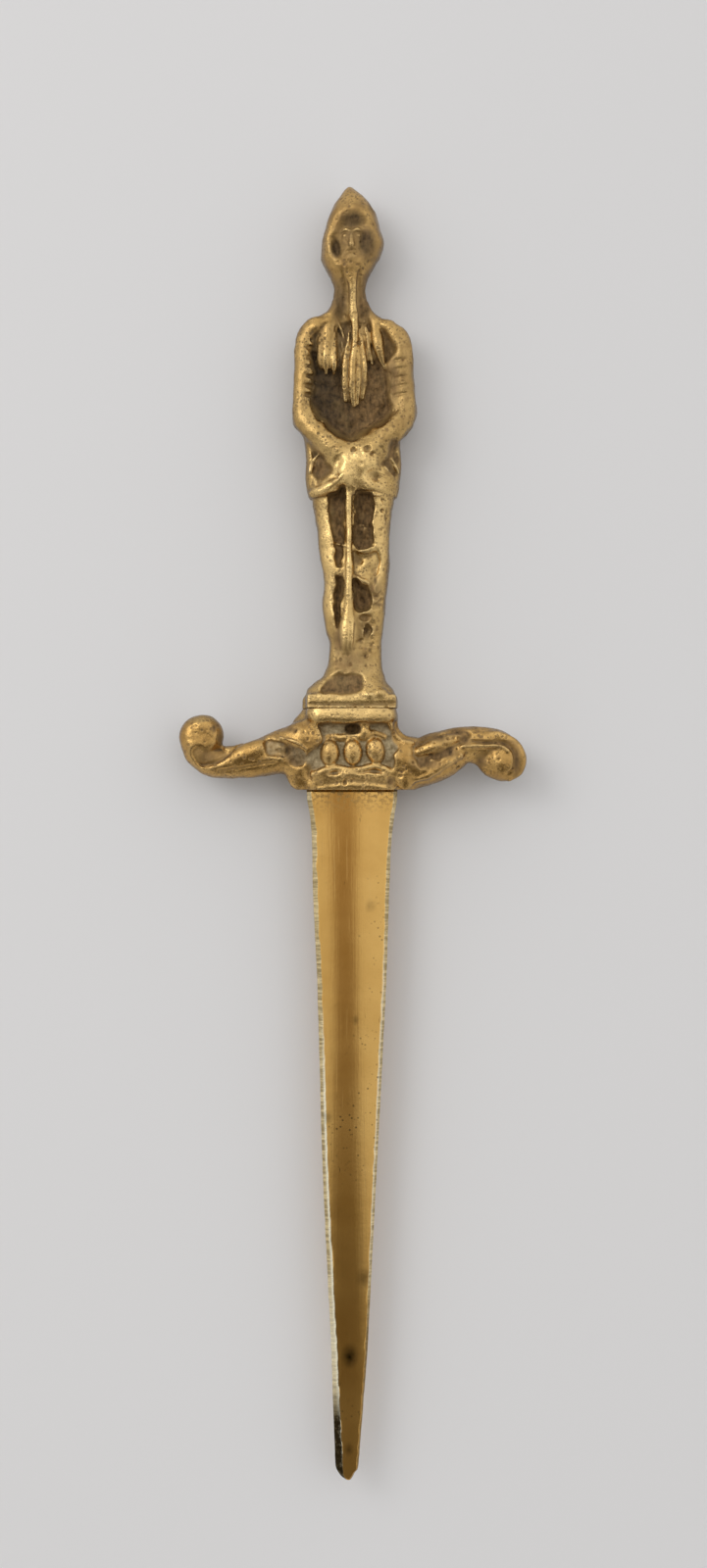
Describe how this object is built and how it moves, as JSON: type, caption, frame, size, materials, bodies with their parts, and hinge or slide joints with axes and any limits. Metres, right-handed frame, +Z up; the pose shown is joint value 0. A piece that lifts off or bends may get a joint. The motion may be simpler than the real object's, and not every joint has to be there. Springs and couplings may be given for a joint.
{
  "type": "letter opener",
  "caption": "Cast brass letter opener shaped as a small dagger, with a tapered flat blade, a scrolled cross guard and a hooded figure as its grip.",
  "frame": {"origin": "on the desk, under the middle of the outline, with the letter opener lying on its back", "axes": "+Y along the blade towards the hood, +X across the guard, +Z up from the desk, out of the figure's front"},
  "size_m": [0.0568, 0.211, 0.0117],
  "materials": {
    "blade_brass": "satin, with fine scratches and a few tarnish spots",
    "cast_brass": "worn polish on the high spots, dark patina in the hollows",
    "pin_brass": "satin"
  },
  "bodies": {
    "root": {"blade": "blade_brass", "cross_guard": "cast_brass", "figure_grip": "cast_brass", "tang_pin": "pin_brass"}
  },
  "joints": []
}
